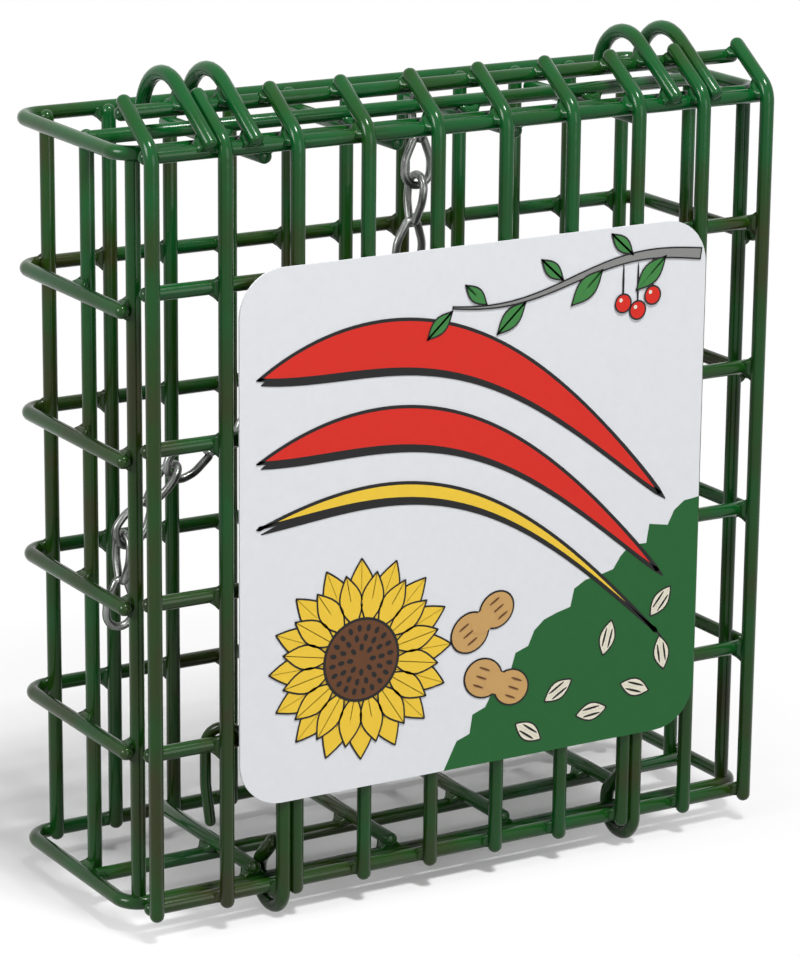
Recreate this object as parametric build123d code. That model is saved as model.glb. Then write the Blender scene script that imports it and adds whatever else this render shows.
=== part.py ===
from build123d import *
import math
import os

# Suet feeder: a welded, vinyl coated wire cage with a drop-down front door, a hanging chain and its hook.
# Millimetres. X runs along the front, Y from the front to the back and Z up.
# The sizes below are laid out from the door: Y is 0 in the plane of its uprights, Z is 0 at its bottom rail.
# At the end everything moves so that the origin lies at the bottom centre of the whole feeder.

# Wire
wire_d = 2.5
wire_r = wire_d / 2
wire_sides = 8
bend_r = 4.0
tip_chamfer = 0.45

# Basket
ring_width = 123.6
ring_depth = 38.5
ring_height = 127.0
corner_r = 4.0
band_count = 4
band_first = 26.8
band_top_gap = 25.5
band_tip = 1.9
post_set_back = 1.2
cross_share = 0.39
back_count = 11
back_set_in = 4.3
back_stub_length = 1.0
top_wire_inset = 25.5

# Door
door_gap = 0.6
door_set_in = 2.4
door_over_ring = 1.2
upright_count = 10
upright_foot = 1.5
lip_angle = 34.5
lip_length = 12.6
lip_rail_inset = 1.3
door_rail_count = 4
door_rail_first = 27.0
door_rail_top_gap = 23.5
door_rail_tip = 1.0

# Latch hooks
latch_play = 1.0
latch_gap = 0.75
latch_radius = 8.0
latch_tail_angle = 80.0
latch_front_length = 0.4
latch_pair_pitch = 8.2

# Hinge eyes
eye_gap = 0.3
eye_ring_gap = 0.3
eye_leg_over = 1.5
eye_shoulder = 2.3
eye_close = 8.2
eye_close_gap = 0.2

# Label card
label_width = 91.0
label_height = 91.5
label_thick = 0.4
label_corner = 8.0
label_shift = 0.9
label_middle = 61.8

# Hook on the door rail
hanger_d = 2.0
hanger_beside = 1.2
hanger_gap = 0.3
hanger_turn = 45.0
hanger_long_end = 11.5
hanger_short_end = 20.5
hanger_kink_height = 19.0
hanger_kink_out = 1.0
hanger_kink_r = 12.0

# Chain
link_d = 1.4
link_length = 17.5
link_width = 6.4
link_waist = 1.9
link_gap = 0.45
link_sides = 6
chain_reach = 64.0
chain_tilts = (2, 7, 30, 53, 69, 72, 40, 4)
links_per_run = 2

# Places worked out from the sizes above
door_rise = ring_height + door_over_ring
upright_pitch = (ring_width - 2 * door_set_in) / (upright_count - 1)
door_rail_pitch = (door_rise - door_rail_first - door_rail_top_gap) / (door_rail_count - 1)
back_pitch = (ring_width - 2 * back_set_in) / (back_count - 1)
band_pitch = (ring_height - band_first - band_top_gap) / (band_count - 1)
lip_y = math.cos(math.radians(lip_angle))
lip_z = math.sin(math.radians(lip_angle))
rail_y = wire_d
top_rail_z = door_rise - wire_d * (1 - lip_z) / lip_y
front_y = rail_y + wire_d + door_gap
back_y = front_y + ring_depth
cross_y = front_y + ring_depth * cross_share
side_x = ring_width / 2
top_wire_x = side_x - top_wire_inset
inner_x = side_x - wire_d
upright_x = [(i - (upright_count - 1) / 2) * upright_pitch for i in range(upright_count)]
back_x = [(i - (back_count - 1) / 2) * back_pitch for i in range(back_count)]
eye_x = upright_x[-3] + wire_d
floor_wire_x = eye_x + wire_d + eye_gap
hanger_x = upright_x[1] + hanger_beside
chain_x = chain_reach - side_x
eye_r = (front_y + wire_d + eye_ring_gap) / 2
foot_drop = eye_r + wire_r
label_front = -wire_r - label_thick
middle_y = (label_front + back_y + wire_r) / 2


def wire_along(path, diameter):
    """A wire with its centre line on the path, drawn with few sides because there are so many."""
    section = Plane(origin=path @ 0, z_dir=path % 0) * RegularPolygon(diameter / 2, wire_sides)
    return sweep(section, path=path)


def bent_wire(points, radius, diameter=wire_d):
    """A round wire through the points, with every corner bent to the radius."""
    path = FilletPolyline(*points, radius=radius) if len(points) > 2 else Line(*points)
    return wire_along(path, diameter)


def eased_ends(wire):
    """The wire with the edges of its two ends broken, as the coating rounds them."""
    ends = [face for face in wire.faces() if len(face.edges()) == wire_sides]
    return chamfer([edge for face in ends for edge in face.edges()], tip_chamfer)


def rounded_frame(width, depth, radius, centre, height):
    """A closed rectangular wire ring, lying flat at the height."""
    half_w = width / 2
    half_d = depth / 2
    corners = [(-half_w, -half_d), (half_w, -half_d), (half_w, half_d), (-half_w, half_d)]
    points = [(0, -half_d)] + [corners[k] for k in (1, 2, 3, 0)]
    path = FilletPolyline(*[(x, centre + y, height) for x, y in points], radius=[0, *[radius] * 4], close=True)
    return wire_along(path, wire_d)


def door_upright(x):
    """An upright of the door, bent back and up at the top into the lip."""
    foot = (x, 0, -upright_foot)
    corner = (x, 0, door_rise)
    end = (x, lip_length * lip_y, door_rise + lip_length * lip_z)
    return bent_wire([foot, corner, end], bend_r)


def door_rail(y, z):
    """A straight wire across the door, a little longer than the row of uprights."""
    reach = upright_x[-1] + door_rail_tip
    return eased_ends(bent_wire([(-reach, y, z), (reach, y, z)], 0))


def latch_hook(x):
    """A spring hook of the door: along the lip, over in an arc, and down behind the top cross wire."""
    tail_y = cross_y + wire_d + latch_play
    tail_z = ring_height + wire_r + latch_gap
    fall_y = math.cos(math.radians(latch_tail_angle))
    fall_z = math.sin(math.radians(latch_tail_angle))
    # where the line of the lip and the line of the tail cross
    along = (tail_y * fall_z + (tail_z - door_rise) * fall_y) / (lip_y * fall_z + lip_z * fall_y)
    front = (x, -latch_front_length * lip_y, door_rise - latch_front_length * lip_z)
    peak = (x, along * lip_y, door_rise + along * lip_z)
    return eased_ends(bent_wire([front, peak, (x, tail_y, tail_z)], latch_radius))


def hinge_eye(x):
    """A leg beside a door upright whose lower end is closed round the basket's bottom rail."""
    outline = [
        (x, 0, door_rail_first + eye_leg_over), (x, 0, -eye_r), (x, 2 * eye_r, -eye_r),
        (x, 2 * eye_r, eye_shoulder), (x, wire_d + eye_close_gap, eye_close),
    ]
    return bent_wire(outline, bend_r)


def label_card():
    """The printed card that lies on the front of the door."""
    face = Plane.XZ * RectangleRounded(label_width, label_height, label_corner)
    card = extrude(face, amount=label_thick)
    return Pos(label_shift, -wire_r, label_middle) * card


def band_rail(z):
    """A wire round the left side, the back and the right side of the basket, open at the front."""
    tip_y = front_y + post_set_back - band_tip
    points = [(-side_x, tip_y, z), (-side_x, back_y, z), (side_x, back_y, z), (side_x, tip_y, z)]
    return bent_wire(points, corner_r)


def basket_upright(x, y, stub):
    """A straight upright of the basket that reaches past both rings by the stub."""
    return bent_wire([(x, y, -stub), (x, y, ring_height + stub)], 0)


def cross_wire(z):
    """A wire from side rail to side rail in the plane of a ring."""
    reach = side_x - wire_r
    return bent_wire([(-reach, cross_y, z), (reach, cross_y, z)], 0)


def panel_wire(x, z):
    """A wire of the floor or the top, from the front rail of a ring back to the uprights."""
    return bent_wire([(x, front_y - wire_r, z), (x, back_y - wire_d - wire_r, z)], 0)


def hanger_hook():
    """The coated J hook that hangs over the lowest rail of the door, its long leg inside the cage."""
    reach = wire_r + hanger_d / 2 + hanger_gap
    radius = reach / math.cos(math.radians(hanger_turn))
    out_x = radius * math.sin(math.radians(hanger_turn))
    crown = door_rail_first + reach
    inside = (hanger_x - out_x, rail_y + reach)
    outside = (hanger_x + out_x, rail_y - reach)
    bow = Edge.make_three_point_arc(
        (*inside, crown - radius), (hanger_x, rail_y, crown), (*outside, crown - radius)
    )
    long_leg = FilletPolyline(
        (inside[0] + hanger_kink_out, inside[1], hanger_long_end),
        (*inside, hanger_kink_height),
        (*inside, crown - radius),
        radius=hanger_kink_r,
    )
    short_leg = Line((*outside, crown - radius), (*outside, hanger_short_end))
    return wire_along(Wire([*long_leg.edges(), bow, *short_leg.edges()]), hanger_d)


def link_loop(plane):
    """One teardrop loop of a chain link: a crown at the end of the link, drawn in at the waist."""
    half = (link_width - link_d) / 2
    crown = (link_length - link_d) / 2
    shoulder = crown - half
    flat = half * math.tan(math.radians(22.5))
    slope = half * math.sin(math.radians(45)) / math.cos(math.radians(22.5))
    points = [
        (flat, crown), (half, shoulder + flat), (half, shoulder - slope), (link_waist / 2, 0),
        (-link_waist / 2, 0), (-half, shoulder - slope), (-half, shoulder + flat), (-flat, crown),
    ]
    path = plane * Polyline(*points, close=True)
    start = Plane(origin=path @ 0, z_dir=path % 0)
    section = start * RegularPolygon(link_d / 2, link_sides, major_radius=False)
    return sweep(section, path=path, transition=Transition.RIGHT)


def chain_link():
    """A link with its middle at the origin: its upper loop spans Y and its lower loop spans X."""
    upper = link_loop(Plane.YZ)
    lower = link_loop(Plane.XZ.rotated((180, 0, 0)))
    return upper + lower


def chain_places():
    """For each link its middle, its tilt, and the point about which it hangs."""
    pivot = (chain_x, ring_height)
    half = (link_length - link_d) / 2
    above = half - (wire_r + link_d / 2 + link_gap)
    below = half - (link_d + link_gap) / 2
    places = []
    for tilt in chain_tilts:
        left = math.sin(math.radians(tilt))
        down = math.cos(math.radians(tilt))
        middle = (pivot[0] - above * left, pivot[1] - above * down)
        places.append((middle, tilt, pivot))
        pivot = (middle[0] - below * left, middle[1] - below * down)
        above = below
    return places


def chain_run(run):
    """The links of one run of the chain, each a solid of its own."""
    places = chain_places()[run * links_per_run : (run + 1) * links_per_run]
    link = chain_link()
    return Compound([
        Pos(middle[0], cross_y, middle[1]) * Rot(0, tilt, 0) * link for middle, tilt, _ in places
    ])


def door():
    """The pieces of the door, by name."""
    pieces = {f"door_upright_{i + 1:02d}": door_upright(x) for i, x in enumerate(upright_x)}
    for i in range(door_rail_count):
        pieces[f"door_rail_{i + 1}"] = door_rail(rail_y, door_rail_first + i * door_rail_pitch)
    pieces["door_bottom_rail"] = door_rail(rail_y, 0)
    pieces["door_top_rail"] = door_rail(rail_y, top_rail_z)
    inset = lip_length - lip_rail_inset
    pieces["door_lip_rail"] = door_rail(
        inset * lip_y + wire_d * lip_z, door_rise + inset * lip_z - wire_d * lip_y
    )
    outer = upright_x[-2] + wire_d
    for i, x in enumerate((-outer, latch_pair_pitch - outer, outer - latch_pair_pitch, outer)):
        pieces[f"latch_hook_{i + 1}"] = latch_hook(x)
    pieces["hinge_eye_left"] = hinge_eye(-eye_x)
    pieces["hinge_eye_right"] = hinge_eye(eye_x)
    pieces["label_card"] = label_card()
    return pieces


def basket():
    """The pieces of the basket, by name."""
    middle = front_y + ring_depth / 2
    pieces = {
        "bottom_ring": rounded_frame(ring_width, ring_depth, corner_r, middle, 0),
        "top_ring": rounded_frame(ring_width, ring_depth, corner_r, middle, ring_height),
    }
    for i in range(band_count):
        pieces[f"band_rail_{i + 1}"] = band_rail(band_first + i * band_pitch)
    for i, x in enumerate(back_x):
        pieces[f"back_upright_{i + 1:02d}"] = basket_upright(x, back_y - wire_d, back_stub_length)
    for side, x in (("left", -inner_x), ("right", inner_x)):
        pieces[f"side_upright_{side}"] = basket_upright(x, cross_y + wire_d, back_stub_length)
        pieces[f"corner_post_{side}"] = basket_upright(x, front_y + post_set_back, -wire_r)
    pieces["floor_cross_wire"] = cross_wire(0)
    pieces["top_cross_wire"] = cross_wire(ring_height)
    for i, x in enumerate((-floor_wire_x, -back_pitch, back_pitch, floor_wire_x)):
        pieces[f"floor_wire_{i + 1}"] = panel_wire(x, wire_d)
    for i, x in enumerate((-top_wire_x, -back_pitch, back_pitch, top_wire_x)):
        pieces[f"top_wire_{i + 1}"] = panel_wire(x, ring_height - wire_d)
    return pieces


def hanging_gear():
    """The chain in its runs, and the hook."""
    runs = len(chain_tilts) // links_per_run
    pieces = {f"chain_run_{run + 1}": chain_run(run) for run in range(runs)}
    pieces["hanger_hook"] = hanger_hook()
    return pieces


os.makedirs("parts", exist_ok=True)
to_origin = Pos(0, -middle_y, foot_drop)
for name, piece in {**door(), **basket(), **hanging_gear()}.items():
    export_step(to_origin * piece, f"parts/{name}.step")
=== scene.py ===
import math
import random

import bmesh
import bpy
from mathutils import Matrix, Vector


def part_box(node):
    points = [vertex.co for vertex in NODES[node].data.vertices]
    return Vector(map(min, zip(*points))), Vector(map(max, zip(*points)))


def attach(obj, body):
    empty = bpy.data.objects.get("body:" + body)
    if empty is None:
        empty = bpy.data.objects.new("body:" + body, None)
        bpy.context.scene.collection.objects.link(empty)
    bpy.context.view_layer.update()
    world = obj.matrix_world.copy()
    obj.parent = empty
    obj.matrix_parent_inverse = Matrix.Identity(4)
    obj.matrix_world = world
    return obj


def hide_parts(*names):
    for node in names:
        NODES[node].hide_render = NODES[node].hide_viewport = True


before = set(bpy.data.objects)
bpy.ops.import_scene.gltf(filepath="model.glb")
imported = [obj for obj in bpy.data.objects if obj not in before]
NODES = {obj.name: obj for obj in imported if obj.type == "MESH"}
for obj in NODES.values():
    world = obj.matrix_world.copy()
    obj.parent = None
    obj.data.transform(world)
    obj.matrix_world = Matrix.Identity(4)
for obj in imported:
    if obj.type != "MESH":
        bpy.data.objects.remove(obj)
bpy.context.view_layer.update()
MM = 0.001


# -------------------------------------------------------------- shader helpers
# sockets that go by number: object coordinates out of the Texture Coordinate node, and two colours
# into the Mix node and one out of it
OBJECT_OUTPUT = 3
MIX_COLOURS, MIX_RESULT = (6, 7), 2


class Shade:
    """A socket of a node tree, with arithmetic that adds Math nodes."""

    def __init__(self, tree, socket):
        self.tree = tree
        self.socket = socket

    def _math(self, operation, *values):
        node = self.tree.nodes.new("ShaderNodeMath")
        node.operation = operation
        for slot, value in zip(node.inputs, values):
            if isinstance(value, Shade):
                self.tree.links.new(value.socket, slot)
            else:
                slot.default_value = value
        return Shade(self.tree, node.outputs[0])

    def __add__(self, other):
        return self._math("ADD", self, other)

    __radd__ = __add__

    def __sub__(self, other):
        return self._math("SUBTRACT", self, other)

    def __mul__(self, other):
        return self._math("MULTIPLY", self, other)

    def __truediv__(self, other):
        return self._math("DIVIDE", self, other)

    def __gt__(self, other):
        return self._math("GREATER_THAN", self, other)

    def power(self, other):
        return self._math("POWER", self, other)

    def least(self, other):
        return self._math("MINIMUM", self, other)

    def most(self, other):
        return self._math("MAXIMUM", self, other)

    def clamped(self):
        """The value held between 0 and 1."""
        return self.most(0.0).least(1.0)


class Paint:
    """One node material, with a single way to add any node to it."""

    def __init__(self, name):
        self.material = bpy.data.materials.new(name)
        self.material.use_nodes = True
        self.tree = self.material.node_tree
        self.shader = self.tree.nodes["Principled BSDF"]

    def node(self, kind, out=0, **inputs):
        """Adds a node, feeds its sockets by name, and gives one of its outputs."""
        made = self.tree.nodes.new("ShaderNode" + kind)
        for key, value in inputs.items():
            self.feed(made.inputs[key], value)
        return Shade(self.tree, made.outputs[out])

    def feed(self, socket, value):
        """Links a shade to the socket, or sets the socket to a constant."""
        if isinstance(value, Shade):
            self.tree.links.new(value.socket, socket)
        else:
            socket.default_value = value

    def set(self, **inputs):
        """Feeds sockets of the Principled shader, with underscores for the spaces in their names."""
        for key, value in inputs.items():
            self.feed(self.shader.inputs[key.replace("_", " ")], value)

    def place(self, move=(0, 0, 0)):
        """The place on the object in its own coordinates, in metres, moved by the vector."""
        return self.node("Mapping", Vector=self.node("TexCoord", OBJECT_OUTPUT), Location=move)

    def axes(self, vector):
        """The three parts of a vector, as numbers."""
        split = self.tree.nodes.new("ShaderNodeSeparateXYZ")
        self.tree.links.new(vector.socket, split.inputs[0])
        return [Shade(self.tree, out) for out in split.outputs]

    def noise(self, scale, detail):
        return self.node("TexNoise", Vector=self.place(), Scale=scale, Detail=detail)

    def ramp(self, value, stops):
        """A colour that runs through the stops, each a place from 0 to 1 and a colour."""
        made = self.tree.nodes.new("ShaderNodeValToRGB")
        elements = made.color_ramp.elements
        while len(elements) < len(stops):
            elements.new(0.5)
        for element, (place, colour) in zip(elements, stops):
            element.position = place
            element.color = (*colour, 1)
        self.feed(made.inputs[0], value)
        return Shade(self.tree, made.outputs[0])

    def blend(self, factor, first, second):
        """A mix of two colours: all first at factor 0, all second at factor 1."""
        made = self.tree.nodes.new("ShaderNodeMix")
        made.data_type = "RGBA"
        self.feed(made.inputs[0], factor)
        for socket, value in zip(MIX_COLOURS, (first, second)):
            if isinstance(value, tuple):
                value = (*value, 1)
            self.feed(made.inputs[socket], value)
        return Shade(self.tree, made.outputs[MIX_RESULT])

    def bump(self, height, strength, distance):
        made = self.node("Bump", Height=height, Strength=strength, Distance=distance)
        self.feed(self.shader.inputs["Normal"], made)


# ------------------------------------------------------------------- materials
def vinyl(name):
    """Green vinyl dipped over wire: glossy and deep, with olive clouds, painted light along the top, painted
    shade down the uprights, and small sags in the coating.
    """
    paint = Paint(name)
    cloud = paint.noise(60.0, 3.0)
    fine = paint.noise(900.0, 3.0)
    # painted light and shade: the coating is painted a cleaner green along the top, as if lit from above,
    # and a darker olive down the uprights, as if in shade; the clouds on top of that are random tone
    height = paint.axes(paint.place())[2]
    painted_top_light = ((height + cloud * 0.04 - 0.124) / 0.026).clamped()
    tone = paint.ramp(cloud + painted_top_light * 0.20 - 0.08, [
        (0.26, (0.024, 0.030, 0.005)),
        (0.42, (0.009, 0.046, 0.004)),
        (0.68, (0.001, 0.069, 0.012)),
    ])
    speck = paint.noise(2600.0, 1.0) > 0.71
    tone = paint.blend(speck * 0.30, tone, (0.02, 0.03, 0.008))
    paint.set(Base_Color=tone, Roughness=0.14 + fine * 0.08, IOR=1.48, Specular_IOR_Level=0.28)
    paint.bump(paint.noise(420.0, 2.0), 0.30, 0.00012)
    return paint.material


def zinc(name):
    """Bright zinc on drawn wire, with cloudy dull patches."""
    paint = Paint(name)
    cloud = paint.noise(260.0, 3.0)
    tone = paint.ramp(cloud, [(0.30, (0.12, 0.125, 0.115)), (0.65, (0.30, 0.31, 0.30))])
    paint.set(Base_Color=tone, Metallic=1.0, Roughness=0.22 + cloud * 0.22)
    paint.bump(paint.noise(1500.0, 2.0), 0.25, 0.00006)
    return paint.material


GREEN = vinyl("green_vinyl")
ZINC = zinc("zinc_wire")


# ---------------------------------------------------------------------- sizes
# millimetres, laid out as the cage is: Y is 0 in the plane of the door's uprights, Z is 0 at its bottom rail
X, Y, Z = Vector((1, 0, 0)), Vector((0, 1, 0)), Vector((0, 0, 1))
# the coated wire: its thickness, and the radius at the centre of its bends
WIRE = 2.5
BEND = 4.0
# the two rings of the basket, between the centres of their wires
RING_WIDTH, RING_DEPTH, RING_HEIGHT = 123.6, 38.5, 127.0
SIDE = RING_WIDTH / 2
INNER_SIDE = SIDE - WIRE / 2
FRONT = 2 * WIRE + 0.6
BACK = FRONT + RING_DEPTH
# the wires across the floor and the top, the bands round three sides, and the uprights of the back
CROSS = FRONT + RING_DEPTH * 0.39
BAND_HEIGHTS = [26.8 + i * 24.9 for i in range(4)]
BACK_STEP = 11.5
BACK_PLACES = [(i - 5) * BACK_STEP for i in range(11)]
POST_Y = FRONT + 1.2
# the door, whose uprights turn in over the basket at the top as a sloped lip
DOOR_RISE = RING_HEIGHT + 1.2
DOOR_PLACES = [(i - 4.5) * 13.2 for i in range(10)]
DOOR_HEIGHTS = [27.0 + i * 25.9 for i in range(4)]
LIP_ANGLE = math.radians(34.5)
LIP_SLOPE = Vector((0, math.cos(LIP_ANGLE), math.sin(LIP_ANGLE)))
LIP_LENGTH = 12.6
LIP_CORNER = Vector((0, 0, DOOR_RISE))
UNDER_LIP = Vector((0, LIP_SLOPE.z, -LIP_SLOPE.y))
# the latch hooks on the lip, and the eyes that hinge the door on the bottom ring
LATCH_PLACES = (-48.7, -40.5, 40.5, 48.7)
TAIL_ANGLE = math.radians(80)
EYE_PLACE = DOOR_PLACES[7] + WIRE
EYE_RADIUS = (FRONT + WIRE + 0.3) / 2
# the wires that run from front to back: those of the floor pass outside the hinge eyes
FLOOR_PLACES = (-EYE_PLACE - 2.8, -BACK_STEP, BACK_STEP, EYE_PLACE + 2.8)
TOP_PLACES = (25.5 - SIDE, -BACK_STEP, BACK_STEP, SIDE - 25.5)
# the frame has its origin under the middle of the object, on the ground
MIDDLE_Y, FOOT = 21.85, 5.45
CAGE_TO_GROUND = Vector((0, -MIDDLE_Y, FOOT))
TO_FRAME = Matrix.Scale(MM, 4) @ Matrix.Translation(CAGE_TO_GROUND)


def new_object(work, name, materials=()):
    """Makes an object of the mesh and puts it in the scene."""
    mesh = bpy.data.meshes.new(name)
    work.to_mesh(mesh)
    work.free()
    for material in materials:
        mesh.materials.append(material)
    made = bpy.data.objects.new(name, mesh)
    bpy.context.scene.collection.objects.link(made)
    return made


def join(work, part, place):
    """Adds the part's mesh to the work, moved to its place."""
    bmesh.ops.transform(part, matrix=place, verts=part.verts)
    mesh = bpy.data.meshes.new("joined")
    part.to_mesh(mesh)
    part.free()
    work.from_mesh(mesh)
    bpy.data.meshes.remove(mesh)


def give_to_frame(work, name, body, material, node=None):
    """Makes an object of a mesh drawn in millimetres; it rides on the body and may stand for a node."""
    bmesh.ops.dissolve_degenerate(work, dist=1e-3, edges=work.edges)
    bmesh.ops.recalc_face_normals(work, faces=work.faces)
    bmesh.ops.transform(work, matrix=TO_FRAME, verts=work.verts)
    for face in work.faces:
        face.smooth = True
    made = new_object(work, name, [material])
    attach(made, body)
    if node:
        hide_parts(node)


# ---------------------------------------------------------------------- wires
BEND_STEP = math.radians(11)  # a bend turns by no more than this at a step
DOME_LEANS = (25, 48, 68, 82)  # degrees from the side of a wire to its tip, at each ring of the dome


class Wire:
    """A round coated wire: a ring of edges, drawn out along straight runs and turned round bends."""

    def __init__(self, work, start, heading, thick, sides):
        self.work = work
        self.heading = heading
        self.centre = start.copy()
        ring = bmesh.ops.create_circle(work, segments=sides, radius=thick / 2)["verts"]
        across = heading.to_track_quat("Z", "Y").to_matrix().to_4x4()
        bmesh.ops.transform(work, matrix=Matrix.Translation(start) @ across, verts=ring)
        self.edges = list(dict.fromkeys(edge for vert in ring for edge in vert.link_edges))
        self.first_edges = list(self.edges)

    def draw_on(self):
        """Adds a ring at the end of the wire, in the same place until it is moved."""
        made = bmesh.ops.extrude_edge_only(self.work, edges=self.edges)["geom"]
        ring = [item for item in made if isinstance(item, bmesh.types.BMVert)]
        edges = [item for item in made if isinstance(item, bmesh.types.BMEdge)]
        self.edges = [edge for edge in edges if set(ring).issuperset(edge.verts)]
        return ring

    def run(self, length):
        """Goes straight on by the length, unless one bend follows another at once."""
        if length < 1e-4:
            return
        bmesh.ops.translate(self.work, vec=self.heading * length, verts=self.draw_on())
        self.centre += self.heading * length

    def bend(self, heading, radius):
        """Turns to the new heading, with the radius at the wire's centre."""
        axis = self.heading.cross(heading).normalized()
        hub = self.centre + axis.cross(self.heading) * radius
        angle = self.heading.angle(heading)
        steps = max(3, math.ceil(angle / BEND_STEP))
        part_turn = Matrix.Rotation(angle / steps, 3, axis)
        for _ in range(steps):
            bmesh.ops.rotate(self.work, cent=hub, matrix=part_turn, verts=self.draw_on())
        self.centre = hub + Matrix.Rotation(angle, 3, axis) @ (self.centre - hub)
        self.heading = heading

    def round_off(self, length):
        """Ends the wire in a dome of the length."""
        size, reached = 1.0, 0.0
        for lean in DOME_LEANS:
            ring = self.draw_on()
            narrow = math.cos(math.radians(lean))
            ahead = length * math.sin(math.radians(lean))
            bmesh.ops.translate(self.work, vec=self.heading * (ahead - reached), verts=ring)
            self.centre += self.heading * (ahead - reached)
            to_centre = Matrix.Translation(-self.centre)
            bmesh.ops.scale(self.work, vec=(narrow / size,) * 3, space=to_centre, verts=ring)
            size, reached = narrow, ahead
        bmesh.ops.edgeloop_fill(self.work, edges=self.edges)


def lay_wire(work, points, bends, thick=WIRE, tip=1.2, closed=False, sides=16):
    """Lays a wire through the points, with a bend radius for each corner, and rounds off its two ends."""
    points = [Vector(point) for point in points]
    if closed:
        points.append(points[0])
        tip = 0.0
    first = (points[1] - points[0]).normalized()
    wire = Wire(work, points[0] + first * tip, first, thick, sides)
    for corner, after, radius in zip(points[1:-1], points[2:], bends):
        heading = (after - corner).normalized()
        cut = radius * math.tan(wire.heading.angle(heading) / 2)
        wire.run((corner - wire.centre).length - cut)
        wire.bend(heading, radius)
    wire.run((points[-1] - wire.centre).length - tip)
    if closed:
        bmesh.ops.remove_doubles(work, verts=work.verts, dist=1e-3)
        return
    wire.round_off(tip)
    wire.edges, wire.heading, wire.centre = wire.first_edges, -first, points[0] + first * tip
    wire.round_off(tip)


def coated_wire(node, body, points, bends=(), **how):
    """A single coated wire that stands for a node."""
    work = bmesh.new()
    lay_wire(work, points, bends, **how)
    give_to_frame(work, node + "_coated", body, GREEN, node)


def ring_frame(node, height):
    """A closed ring of the basket, begun in the middle of its front rail."""
    corners = [(0, FRONT), (SIDE, FRONT), (SIDE, BACK), (-SIDE, BACK), (-SIDE, FRONT)]
    coated_wire(node, "basket", [(x, y, height) for x, y in corners], [BEND] * 4, closed=True)


# basket
ring_frame("bottom_ring", 0)
ring_frame("top_ring", RING_HEIGHT)
BAND_TIP = POST_Y - 1.9
for i, z in enumerate(BAND_HEIGHTS):
    around = [(-SIDE, BAND_TIP, z), (-SIDE, BACK, z), (SIDE, BACK, z), (SIDE, BAND_TIP, z)]
    coated_wire(f"band_rail_{i + 1}", "basket", around, [BEND] * 2)


def basket_upright(node, x, y, stub=1.0):
    """An upright of the basket, whose ends stand out past the rings by the stub."""
    coated_wire(node, "basket", [(x, y, -stub), (x, y, RING_HEIGHT + stub)])


for i, x in enumerate(BACK_PLACES):
    basket_upright(f"back_upright_{i + 1:02d}", x, BACK - WIRE)
for side, x in (("left", WIRE - SIDE), ("right", SIDE - WIRE)):
    basket_upright(f"side_upright_{side}", x, CROSS + WIRE)
    basket_upright(f"corner_post_{side}", x, POST_Y, stub=0.0)
for node, z in (("floor_cross_wire", 0), ("top_cross_wire", RING_HEIGHT)):
    coated_wire(node, "basket", [(-INNER_SIDE, CROSS, z), (INNER_SIDE, CROSS, z)], tip=0.3)
for stem, places, z in (("floor_wire", FLOOR_PLACES, WIRE), ("top_wire", TOP_PLACES, RING_HEIGHT - WIRE)):
    for i, x in enumerate(places):
        across = [(x, FRONT - WIRE / 2, z), (x, BACK - WIRE * 1.5, z)]
        coated_wire(f"{stem}_{i + 1}", "basket", across, tip=0.7)

# door
for i, x in enumerate(DOOR_PLACES):
    corner = X * x + LIP_CORNER
    tall = [(x, 0, -1.5), corner, corner + LIP_SLOPE * LIP_LENGTH]
    coated_wire(f"door_upright_{i + 1:02d}", "door", tall, [BEND])

TOP_RAIL = Vector((0, WIRE, DOOR_RISE - WIRE * (1 - LIP_SLOPE.z) / LIP_SLOPE.y))
LIP_RAIL = LIP_CORNER + LIP_SLOPE * (LIP_LENGTH - 1.3) + UNDER_LIP * WIRE
DOOR_RAILS = {f"door_rail_{i + 1}": Vector((0, WIRE, z)) for i, z in enumerate(DOOR_HEIGHTS)}
DOOR_RAILS["door_bottom_rail"] = Vector((0, WIRE, 0))
DOOR_RAILS["door_top_rail"] = TOP_RAIL
DOOR_RAILS["door_lip_rail"] = LIP_RAIL
RAIL_REACH = X * (DOOR_PLACES[-1] + 1.0)
for node, place in DOOR_RAILS.items():
    coated_wire(node, "door", [place - RAIL_REACH, place + RAIL_REACH])

# latch hooks: along the lip, over in an arc, and down behind the cross wire of the top
tail = Vector((0, CROSS + WIRE + 1.0, RING_HEIGHT + WIRE / 2 + 0.75))
fall = Vector((0, math.cos(TAIL_ANGLE), -math.sin(TAIL_ANGLE)))
# how far up the lip's slope the line of the tail meets it
meet = tail.y * -fall.z + (tail.z - DOOR_RISE) * fall.y
meet /= LIP_SLOPE.y * -fall.z + LIP_SLOPE.z * fall.y
for i, x in enumerate(LATCH_PLACES):
    corner = X * x + LIP_CORNER
    arch = [corner - LIP_SLOPE * 0.4, corner + LIP_SLOPE * meet, X * x + tail]
    coated_wire(f"latch_hook_{i + 1}", "door", arch, [8.0], tip=0.7)

# hinge eyes: a leg down the door, closed round the front rail of the bottom ring
for side, x in (("left", -EYE_PLACE), ("right", EYE_PLACE)):
    loop = [
        (x, 0, DOOR_HEIGHTS[0] + 1.5), (x, 0, -EYE_RADIUS), (x, 2 * EYE_RADIUS, -EYE_RADIUS),
        (x, 2 * EYE_RADIUS, 2.3), (x, WIRE + 0.2, 8.2),
    ]
    coated_wire(f"hinge_eye_{side}", "door", loop, [BEND] * 3)

# the small J hook over the lowest rail of the door
HOOK_WIRE = 2.0
hook_x = DOOR_PLACES[1] + 1.2
reach = (WIRE + HOOK_WIRE) / 2 + 0.3
crown = DOOR_HEIGHTS[0] + reach
inside = Vector((hook_x - reach, WIRE + reach, 0))
outside = Vector((hook_x + reach, WIRE - reach, 0))
half_turn = (outside - inside).length / 2
hook_line = [
    inside + X + Z * 11.5, inside + Z * 19.0, inside + Z * crown,
    outside + Z * crown, outside + Z * 20.5,
]
hook_bends = [12.0, half_turn, half_turn]
coated_wire("hanger_hook", "hanger", hook_line, hook_bends, thick=HOOK_WIRE * 0.95, tip=0.9)


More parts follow.
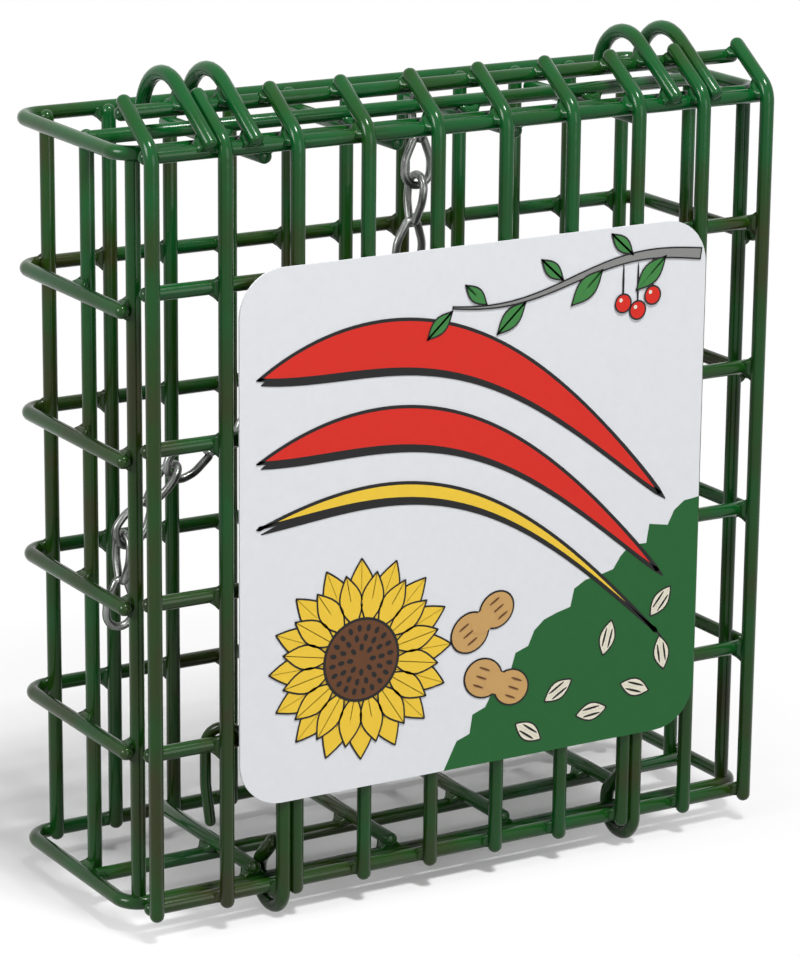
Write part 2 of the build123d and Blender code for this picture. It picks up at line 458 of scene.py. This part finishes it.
# ----------------------------------------------------------------- vinyl webs
FREE = 9.0  # further than a web reaches, so that it is not cut short
STUB = 0.3  # how far a web follows a wire that ends just past the other one
OPEN = (-FREE, FREE)


class Webs:
    """The vinyl that the dip leaves in the four corners where two welded wires cross."""

    # the 16 steps round a web repeat in fours: each one's turn in degrees, its reach, and how far it
    # leans to the wire on that side
    STEP = 22.5
    STEPS = ((0.0, 2.1, 0.9), (4.5, 2.4, 0.62), (0.0, 2.18, 0.0), (-4.5, 2.4, 0.62))

    def __init__(self):
        self.work = bmesh.new()

    def add(self, spot, normal, along, room=OPEN + OPEN, lean=1.0):
        """A web at the spot where two wires touch, with the way from one wire to the other as its normal.

        Along follows the first wire. Room is how far each wire goes on from here: back and ahead on the
        first, then back and ahead on the second.
        """
        normal, along = Vector(normal), Vector(along)
        facing = Matrix((along, normal.cross(along), normal)).transposed().to_4x4()
        made = bmesh.ops.create_uvsphere(self.work, u_segments=16, v_segments=4, radius=1.0)["verts"]
        for vert in made:
            out = math.hypot(vert.co.x, vert.co.y)
            if out < 1e-6:
                continue
            angle = math.degrees(math.atan2(vert.co.y, vert.co.x))
            turn, reach, drop = self.STEPS[round(angle / self.STEP) % 4]
            first_wire = 1 if abs(math.cos(math.radians(angle))) > math.sqrt(0.5) else -1
            angle = math.radians(angle + turn)
            vert.co.z = vert.co.z * 1.2 - first_wire * drop * lean * out**2
            vert.co.x = max(room[0], min(room[1], out * reach * math.cos(angle)))
            vert.co.y = max(room[2], min(room[3], out * reach * math.sin(angle)))
        bmesh.ops.transform(self.work, matrix=Matrix.Translation(Vector(spot)) @ facing, verts=made)


def room_past(value, ends):
    """How far a wire goes on, back and ahead, at a place on it that may be the last at either end."""
    return (-STUB if value == ends[0] else -FREE, STUB if value == ends[-1] else FREE)


door_webs = Webs()
for x in DOOR_PLACES:
    sideways = room_past(x, DOOR_PLACES)
    door_webs.add((x, WIRE / 2, 0.0), Y, Z, (-0.5, FREE) + sideways)
    for z in DOOR_HEIGHTS:
        beside_hook = x == DOOR_PLACES[1] and z == DOOR_HEIGHTS[0]
        door_webs.add((x, WIRE / 2, z), Y, Z, OPEN + ((-FREE, 0.8) if beside_hook else sideways))
for x in (-EYE_PLACE, EYE_PLACE):
    door_webs.add((x, WIRE / 2, 0.0), Y, Z)
    door_webs.add((x, WIRE / 2, DOOR_HEIGHTS[0]), Y, Z, (-FREE, 0.9) + OPEN)
# under the lip an upright ends just past its last rail, and a latch hook begins just before its first
for x in DOOR_PLACES + list(LATCH_PLACES):
    sideways = room_past(x, DOOR_PLACES)
    starts, ends = ((-0.9, FREE), OPEN) if x in LATCH_PLACES else (OPEN, (-FREE, STUB))
    for rail, room in ((TOP_RAIL, starts), (LIP_RAIL, ends)):
        door_webs.add(X * x + rail - UNDER_LIP * WIRE / 2, UNDER_LIP, LIP_SLOPE, room + sideways)
give_to_frame(door_webs.work, "door_vinyl_webs", "door", GREEN)

cage_webs = Webs()
levels = [0.0] + BAND_HEIGHTS + [RING_HEIGHT]
for z in levels:
    stubs = room_past(z, levels)
    for x in BACK_PLACES:
        cage_webs.add((x, BACK - WIRE / 2, z), Y, Z, stubs + OPEN)
    for side in (-1, 1):
        cage_webs.add((side * INNER_SIDE, CROSS + WIRE, z), X * side, Z, stubs + OPEN)
for z in BAND_HEIGHTS:
    for side in (-1, 1):
        tip_room = (-FREE, 0.5) if side > 0 else (-0.5, FREE)
        cage_webs.add((side * INNER_SIDE, POST_Y, z), X * side, Z, OPEN + tip_room)
for places, z, side in ((FLOOR_PLACES, 0.0, 1), (TOP_PLACES, RING_HEIGHT, -1)):
    front_room = (-0.8, FREE) if side > 0 else (-FREE, 0.8)
    for x in places:
        cage_webs.add((x, FRONT, z + side * WIRE / 2), Z * side, X, OPEN + front_room)
        cage_webs.add((x, CROSS, z + side * WIRE / 2), Z * side, X)
    # the cross wire meets the ring in one plane, so this web leans to neither
    for end in (-1, 1):
        cage_webs.add((end * INNER_SIDE, CROSS, z), Z, Y, lean=0.0)
give_to_frame(cage_webs.work, "cage_vinyl_webs", "basket", GREEN)


# ---------------------------------------------------------------------- chain
LINK_WIRE, LINK_LENGTH, LINK_WIDTH, LINK_WAIST, LINK_GAP = 1.4, 17.5, 6.4, 1.9, 0.45
CHAIN_TILTS = (2, 7, 30, 53, 69, 72, 40, 4)  # each link's lean from upright, in degrees, from the top down
# to the wire's centre, from the middle of the link: up to its crown, and out to its side
CROWN = (LINK_LENGTH - LINK_WIRE) / 2
LINK_HALF = (LINK_WIDTH - LINK_WIRE) / 2


def link_loop(across):
    """One half of a link: a teardrop of wire with its crown up, drawn in at the waist."""
    shoulder = CROWN - LINK_HALF - LINK_HALF * math.sin(math.radians(45)) / math.cos(math.radians(22.5))
    points = [
        across * 0, across * (LINK_WAIST / 2),
        across * LINK_HALF + Z * shoulder, across * LINK_HALF + Z * CROWN,
        across * -LINK_HALF + Z * CROWN, across * -LINK_HALF + Z * shoulder,
        across * (-LINK_WAIST / 2),
    ]
    bends = [0.6, 5.0, LINK_HALF, LINK_HALF, 5.0, 0.6]
    work = bmesh.new()
    lay_wire(work, points, bends, thick=LINK_WIRE, closed=True, sides=12)
    return work


# the first link hangs from the top cross wire, and each one after it from the one before
hang = Vector((64.0 - SIDE, CROSS, RING_HEIGHT))
above, below = CROWN - (WIRE + LINK_WIRE) / 2 - LINK_GAP, CROWN - (LINK_WIRE + LINK_GAP) / 2
runs = [bmesh.new() for _ in range(len(CHAIN_TILTS) // 2)]
for i, tilt in enumerate(CHAIN_TILTS):
    down = -Vector((math.sin(math.radians(tilt)), 0, math.cos(math.radians(tilt))))
    middle = hang + down * above
    place = Matrix.Translation(middle) @ Matrix.Rotation(math.radians(tilt), 4, "Y")
    join(runs[i // 2], link_loop(Y), place)
    join(runs[i // 2], link_loop(X), place @ Matrix.Rotation(math.pi, 4, "X"))
    hang = middle + down * below
    above = below
for i, work in enumerate(runs):
    give_to_frame(work, f"chain_links_{i + 1}", f"chain_run_{i + 1}", ZINC, f"chain_run_{i + 1}")


# ----------------------------------------------------------------------- label
CARD_LOW, CARD_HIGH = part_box("label_card")
CARD_MIDDLE = (CARD_LOW + CARD_HIGH) / 2
CARD_W, CARD_H = 91.0, 91.5
CARD_CORNER = 8.0
INK_STEP = 0.035  # from one layer of the print to the next, so that none lies in the plane of another


def flat_ink(name, colour):
    """Offset printing ink on coated card: a little uneven in gloss and in strength."""
    paint = Paint(name)
    mottle = paint.noise(700.0, 3.0)
    strong = tuple(c * 0.94 for c in colour)
    tone = paint.blend(mottle, strong, colour)
    paint.set(Base_Color=tone, Roughness=0.32 + mottle * 0.10, Specular_IOR_Level=0.25)
    paint.bump(paint.noise(120.0, 1.0), 0.10, 0.0003)
    return paint.material


CARD_WHITE = flat_ink("card_white", (0.74, 0.755, 0.785))
INKS = {
    "green": flat_ink("ink_green", (0.010, 0.105, 0.022)),
    "leaf": flat_ink("ink_leaf", (0.045, 0.210, 0.050)),
    "red": flat_ink("ink_red", (0.660, 0.022, 0.012)),
    "yellow": flat_ink("ink_yellow", (0.840, 0.560, 0.045)),
    "black": flat_ink("ink_black", (0.010, 0.010, 0.010)),
    "brown": flat_ink("ink_brown", (0.120, 0.045, 0.016)),
    "grey": flat_ink("ink_grey", (0.240, 0.240, 0.235)),
    "cream": flat_ink("ink_cream", (0.780, 0.740, 0.600)),
    "tan": flat_ink("ink_tan", (0.560, 0.330, 0.120)),
}
INK_ORDER = list(INKS)


class Print:
    """The printed shapes of the card, in millimetres from its middle, in layers a hair apart."""

    def __init__(self):
        self.work = bmesh.new()

    def lay(self, part, layer, fill, line=None, width=0.5):
        """Moves a flat shape drawn in X and Y on to the face of the card, with an outline if asked."""
        for face in part.faces:
            face.material_index = INK_ORDER.index(fill)
        if line:
            ring = bmesh.ops.inset_region(
                part, faces=list(part.faces), thickness=width, depth=0,
                use_even_offset=True, use_boundary=True,
            )
            for face in ring["faces"]:
                face.material_index = INK_ORDER.index(line)
        bmesh.ops.recalc_face_normals(part, faces=part.faces)
        if part.faces and sum(face.normal.z for face in part.faces) < 0:
            bmesh.ops.reverse_faces(part, faces=part.faces)
        front = Vector((CARD_MIDDLE.x, CARD_LOW.y - layer * INK_STEP * MM, CARD_MIDDLE.z))
        upright = Matrix.Rotation(math.radians(90), 4, "X")
        join(self.work, part, Matrix.Translation(front) @ upright @ Matrix.Scale(MM, 4))

    def disc(self, u, v, size, layer, fill, line=None, width=0.3,
             turn=0.0, stretch=1.0, point=0.0, steps=28):
        """A round or oval shape, turned in degrees; point draws its two ends out, as on a leaf or a seed."""
        part = bmesh.new()
        bmesh.ops.create_circle(part, cap_ends=True, radius=1.0, segments=steps)
        for vert in part.verts:
            vert.co.y *= 1.0 - point * vert.co.x**2
        bmesh.ops.scale(part, vec=(size * stretch, size, 1), verts=part.verts)
        turned = Matrix.Rotation(math.radians(turn), 3, "Z")
        bmesh.ops.rotate(part, cent=(0, 0, 0), matrix=turned, verts=part.verts)
        bmesh.ops.translate(part, vec=(u, v, 0), verts=part.verts)
        self.lay(part, layer, fill, line, width)

    def band(self, line_of, width_of, layer, fill, line=None, width=0.5):
        """A ribbon along line_of(t), as wide as width_of(t), for t from 0 to 1."""
        part = bmesh.new()
        bmesh.ops.create_grid(part, x_segments=48, y_segments=1, size=0.5)
        for vert in part.verts:
            t, side = vert.co.x + 0.5, vert.co.y * 2
            here, ahead = Vector(line_of(t)), Vector(line_of(t + 0.01))
            along = (ahead - here).normalized()
            across = Vector((-along.y, along.x))
            spot = here + across * side * width_of(t) / 2
            vert.co = (spot.x, spot.y, 0)
        self.lay(part, layer, fill, line, width)

    def patch(self, points, layer, fill):
        """A free outline, filled."""
        part = bmesh.new()
        verts = [part.verts.new((u, v, 0)) for u, v in points]
        part.faces.new(verts)
        bmesh.ops.triangulate(part, faces=part.faces)
        self.lay(part, layer, fill)

    def finish(self, name):
        made = new_object(self.work, name, INKS.values())
        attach(made, "door")


def torn_corner(chance):
    """The outline of the card's lower right corner, torn along a slant."""
    right, low = CARD_W / 2, -CARD_H / 2
    first, last, count = Vector((-6.0, low)), Vector((right, -4.0)), 26
    hub = (right - CARD_CORNER, low + CARD_CORNER)
    points = [(right, last.y), (right, hub[1])]
    for step in range(1, 9):
        angle = math.radians(-step * 11.25)
        points.append((hub[0] + CARD_CORNER * math.cos(angle), hub[1] + CARD_CORNER * math.sin(angle)))
    points.append((first.x, low))
    across = Vector((last.y - first.y, first.x - last.x)).normalized()
    for step in range(1, count):
        t = step / count
        bow = -5.0 * math.sin(math.pi * t)
        spot = first.lerp(last, t) + across * (bow + chance.uniform(-1.5, 1.5))
        points.append((min(spot.x, right - 0.2), spot.y))
    return points


chance = random.Random(7)
print_work = Print()
print_work.patch(torn_corner(chance), 1, "green")


def ribbon(rise, wide, fill):
    """A ribbon that sweeps down to the right, over its own black shade."""
    def line(t, off=0.0):
        return (-42.5 + 80.0 * t + off, rise + 11.0 - 30.0 * t + 15.0 * math.sin(math.pi * t) - off)

    def width(t):
        return wide * (1.0 - (1.0 - t) ** 5) * (1.0 - t) ** 0.62 + 0.2

    print_work.band(lambda t: line(t, 0.9), width, 2, "black")
    print_work.band(line, width, 3, fill, "black", 0.6)


ribbon(16.5, 13.0, "red")
ribbon(2.5, 10.5, "red")
ribbon(-8.6, 4.6, "yellow")


def twig_line(t):
    """The twig across the top of the card, from the right."""
    return (44.5 - 50.0 * t, 39.5 - 3.5 * t + 1.8 * math.sin(6.0 * t))


print_work.band(twig_line, lambda t: 2.2 - 1.6 * t, 4, "grey", "black", 0.28)
# leaves: the place along the twig, the side of it, and the size
LEAVES = (
    (0.14, -1, 3.2), (0.26, 1, 2.4), (0.40, -1, 3.3), (0.54, 1, 2.4),
    (0.70, -1, 3.0), (0.84, 1, 2.3), (0.98, -1, 2.6),
)
for t, side, size in LEAVES:
    u, v = twig_line(t)
    slant = {"turn": 180 - side * 42, "stretch": 2.3, "point": 0.85}
    print_work.disc(u - 3.4, v + side * size, size * 0.58, 5, "leaf", "black", **slant)
# berries: the place along the twig, and the length of the stalk
for t, drop in ((0.20, 7.2), (0.26, 9.4), (0.32, 7.6)):
    u, v = twig_line(t)
    print_work.disc(u, v - drop * 0.55, 0.2, 4, "black", turn=90, stretch=drop * 2.2)
    print_work.disc(u, v - drop, 1.75, 6, "red", "black")
    print_work.disc(u - 0.5, v - drop + 0.6, 0.35, 7, "cream")

# sunflower, lower left
FLOWER = (-22.5, -23.0)


def flower_ring(reach, count, start, size, layer, fill, line=None, **how):
    """Discs in a ring round the middle of the flower, each one pointing away from it."""
    for step in range(count):
        turn = start + step * 360 / count
        angle = math.radians(turn)
        u, v = FLOWER[0] + reach * math.cos(angle), FLOWER[1] + reach * math.sin(angle)
        print_work.disc(u, v, size, layer, fill, line, 0.32, turn=turn, **how)


flower_ring(12.2, 16, 0.0, 2.668, 3, "yellow", "black", stretch=2.1, point=0.72)
flower_ring(10.6, 16, 11.25, 2.3, 4, "yellow", "black", stretch=2.1, point=0.72)
print_work.disc(*FLOWER, 7.4, 5, "brown", "black", 0.5, steps=40)
for reach, count in ((5.6, 20), (3.9, 14), (2.2, 8)):
    flower_ring(reach, count, reach * 20, 0.42, 6, "black", stretch=1.5, steps=10)

# peanuts beside the flower, each of two round halves with three creases on them, and a waist between
NUT_HALF = 3.1
for u, v, lean in ((1.5, -20.0, 32.0), (4.5, -31.5, -24.0)):
    half = Vector((math.cos(math.radians(lean)), math.sin(math.radians(lean)))) * NUT_HALF
    for end, size in ((-1, 3.3), (1, 3.0)):
        print_work.disc(u + end * half.x, v + end * half.y, size + 0.32, 3, "black", turn=lean, stretch=1.12)
        print_work.disc(u + end * half.x, v + end * half.y, size, 4, "tan", turn=lean, stretch=1.12)
        for row in (-1.6, 0.0, 1.6):
            cross = Vector((-half.y, half.x)) / NUT_HALF * row
            spot = Vector((u, v)) + half * end * 1.15 + cross
            print_work.disc(spot.x, spot.y, 0.17, 6, "brown", turn=lean, stretch=7.0, steps=12)
    print_work.disc(u, v, 2.0, 5, "tan", turn=lean, stretch=1.3)

# striped seeds on the green corner: the place and the turn of each
SEEDS = (
    (17, -35, 30), (27, -27, 75), (33, -37, -20), (24, -40, 5),
    (38, -22, 50), (38.5, -31.5, 100), (11, -41.5, -35),
)
for u, v, turn in SEEDS:
    print_work.disc(u, v, 1.75, 2, "cream", "black", turn=turn, stretch=1.9, point=0.6)
    lean = math.radians(turn)
    for off in (-0.62, 0.62):
        stripe = (u - off * math.sin(lean), v + off * math.cos(lean))
        print_work.disc(*stripe, 0.2, 3, "black", turn=turn, stretch=9.0, steps=14)
print_work.finish("label_print")

NODES["label_card"].data.materials.clear()
NODES["label_card"].data.materials.append(CARD_WHITE)


# ---------------------------------------------------------------------- stage
def seen_rays(tree):
    """1 for a ray of the camera, straight, mirrored or passed through; 0 for one that carries light."""
    rays = tree.nodes.new("ShaderNodeLightPath").outputs
    straight, mirrored, through = (
        Shade(tree, rays[f"Is {kind} Ray"]) for kind in ("Camera", "Glossy", "Transmission")
    )
    return straight.most(mirrored.most(through))


work = bmesh.new()
bmesh.ops.create_grid(work, x_segments=1, y_segments=1, size=6.0)
floor = new_object(work, "floor")
floor_paint = Paint("floor_white")
sight = seen_rays(floor_paint.tree)
# the floor is paler to the eye than in the light that it throws back up
floor_paint.set(Base_Color=sight * 0.40 + 0.35, Roughness=0.9)
# round the place behind the object where its shadow lies, the floor runs out into the white backdrop
SHADOW_Y, FADE_START, FADE_LENGTH = 0.04, 0.05, 0.06
spot = floor_paint.axes(floor_paint.place(move=(0, -SHADOW_Y, 0)))
away = (spot[0] * spot[0] + spot[1] * spot[1]).power(0.5)
fade = ((away - FADE_START) / FADE_LENGTH).clamped()
glow = floor_paint.node("Emission", Color=(1, 1, 1, 1), Strength=1.0)
mixed = floor_paint.tree.nodes.new("ShaderNodeMixShader")
floor_paint.feed(mixed.inputs[0], sight * (fade * 0.88 + 0.12))
floor_paint.tree.links.new(floor_paint.shader.outputs[0], mixed.inputs[1])
floor_paint.tree.links.new(glow.socket, mixed.inputs[2])
floor_paint.tree.links.new(mixed.outputs[0], floor_paint.tree.nodes["Material Output"].inputs["Surface"])
floor.data.materials.append(floor_paint.material)

# the backdrop is white to the eye, and lights the scene only a little
AMBIENT = 0.08
world = bpy.data.worlds.new("studio_world")
bpy.context.scene.world = world
world.use_nodes = True
backdrop = world.node_tree.nodes["Background"]
backdrop.inputs["Color"].default_value = (1, 1, 1, 1)
strength = seen_rays(world.node_tree) * (1.0 - AMBIENT) + AMBIENT
world.node_tree.links.new(strength.socket, backdrop.inputs["Strength"])


def lamp(name, place, size, power):
    """A square lamp, aimed at the middle of the object."""
    data = bpy.data.lights.new(name, "AREA")
    data.shape = "SQUARE"
    data.size = size
    data.energy = power
    made = bpy.data.objects.new(name, data)
    made.location = place
    made.rotation_euler = (Vector((0, 0, 0.07)) - Vector(place)).to_track_quat("-Z", "Y").to_euler()
    bpy.context.scene.collection.objects.link(made)


lamp("key_above", (0.02, -0.42, 1.06), 0.20, 12.8)
lamp("softbox_left", (-0.92, -0.05, 0.50), 0.4, 6.9)
lamp("fill_front", (0.10, -1.00, 0.30), 0.6, 2.8)

# --------------------------------------------------------------------- camera
# the photograph's angle, in degrees; its focal length and height, in pixels; and where the cage's
# origin lies from the camera, to the right, up and ahead, in millimetres
AZIMUTH, ELEVATION, ROLL = 30.88, 15.74, 0.57
FOCAL, TALL = 3975.2, 956
TRAVEL = (10.81, -64.48, 687.93)
SENSOR = 36.0

a, e, r = math.radians(AZIMUTH), math.radians(ELEVATION), math.radians(ROLL)
forward = Vector((math.sin(a) * math.cos(e), math.cos(a) * math.cos(e), -math.sin(e)))
right = Vector((math.cos(a), -math.sin(a), 0))
up = right.cross(forward)
right, up = right * math.cos(r) + up * math.sin(r), up * math.cos(r) - right * math.sin(r)
eye = -(TRAVEL[0] * right + TRAVEL[1] * up + TRAVEL[2] * forward)
eye = (eye + CAGE_TO_GROUND) * MM
camera_data = bpy.data.cameras.new("photo_camera")
camera = bpy.data.objects.new("photo_camera", camera_data)
bpy.context.scene.collection.objects.link(camera)
turn = Matrix((right, up, -forward)).transposed()
camera.matrix_world = Matrix.Translation(eye) @ turn.to_4x4()
camera_data.sensor_fit = "AUTO"
camera_data.sensor_width = SENSOR
camera_data.lens = FOCAL / TALL * SENSOR
camera_data.clip_start = 0.01
camera_data.clip_end = 30.0
bpy.context.scene.camera = camera
bpy.context.scene.view_settings.view_transform = "Standard"
